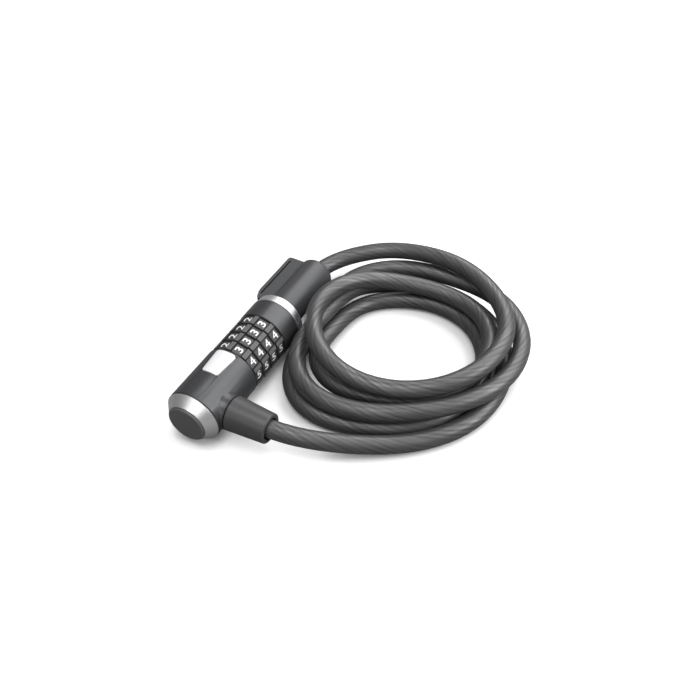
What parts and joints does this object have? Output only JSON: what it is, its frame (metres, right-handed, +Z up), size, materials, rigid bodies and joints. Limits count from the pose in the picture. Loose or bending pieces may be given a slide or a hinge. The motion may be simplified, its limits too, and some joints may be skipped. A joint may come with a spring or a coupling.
{
  "type": "combination cable lock",
  "caption": "Combination cable lock with number dials, closed on its own coiled cable, with a frame-clip rail on the plug.",
  "frame": {"origin": "centre of the bottom of the lock without its cable, on the surface it rests on", "axes": "+Y along the lock from the end cap to the plug, +X towards the cable's branch, +Z up"},
  "size_m": [0.1586, 0.1787, 0.0318],
  "materials": {
    "grey_shell": "satin",
    "grey_moulding": "satin",
    "dark_shell": "satin",
    "silver": "satin",
    "plate": "satin",
    "brass": "machined",
    "steel": "machined",
    "cable": "gloss"
  },
  "bodies": {
    "lock": {"end_cap": "dark_shell", "end_ring": "silver", "body_shell": "grey_shell", "name_plate": "plate", "front_housing": "grey_shell", "collar_ring": "silver", "branch_sleeve": "dark_shell", "core_tube": "brass", "detent_strip": "steel", "spacer_ring_1": "steel", "spacer_ring_2": "steel", "spacer_ring_3": "steel", "spacer_ring_4": "steel", "spacer_ring_5": "steel", "wave_spring": "steel", "retaining_clip": "steel", "branch_ferrule": "steel", "anchor_pin": "steel", "cable": "cable"},
    "plug": {"plug_pin": "steel", "plug_cross_pin": "steel", "plug_ferrule": "steel", "plug_bush": "steel", "plug_sleeve": "grey_moulding", "cable_tail": "cable"},
    "dial_1_set": {"dial_1": "dark_shell", "code_sleeve_1": "brass"},
    "dial_2_set": {"dial_2": "dark_shell", "code_sleeve_2": "brass"},
    "dial_3_set": {"dial_3": "dark_shell", "code_sleeve_3": "brass"},
    "dial_4_set": {"dial_4": "dark_shell", "code_sleeve_4": "brass"}
  },
  "joints": [
    {"name": "dial_1_turn", "type": "hinge", "parent": "lock", "child": "dial_1_set", "pos_m": [-0.01018, -0.02145, 0.0157], "axis": [0, 1, 0], "continuous": true},
    {"name": "dial_2_turn", "type": "hinge", "parent": "lock", "child": "dial_2_set", "pos_m": [-0.01018, -0.01395, 0.0157], "axis": [0, 1, 0], "continuous": true},
    {"name": "dial_3_turn", "type": "hinge", "parent": "lock", "child": "dial_3_set", "pos_m": [-0.01018, -0.00645, 0.0157], "axis": [0, 1, 0], "continuous": true},
    {"name": "dial_4_turn", "type": "hinge", "parent": "lock", "child": "dial_4_set", "pos_m": [-0.01018, 0.00105, 0.0157], "axis": [0, 1, 0], "continuous": true},
    {"name": "plug_draw", "type": "slide", "parent": "lock", "child": "plug", "axis": [0, 1, 0], "range_m": [0, 0.05]}
  ]
}
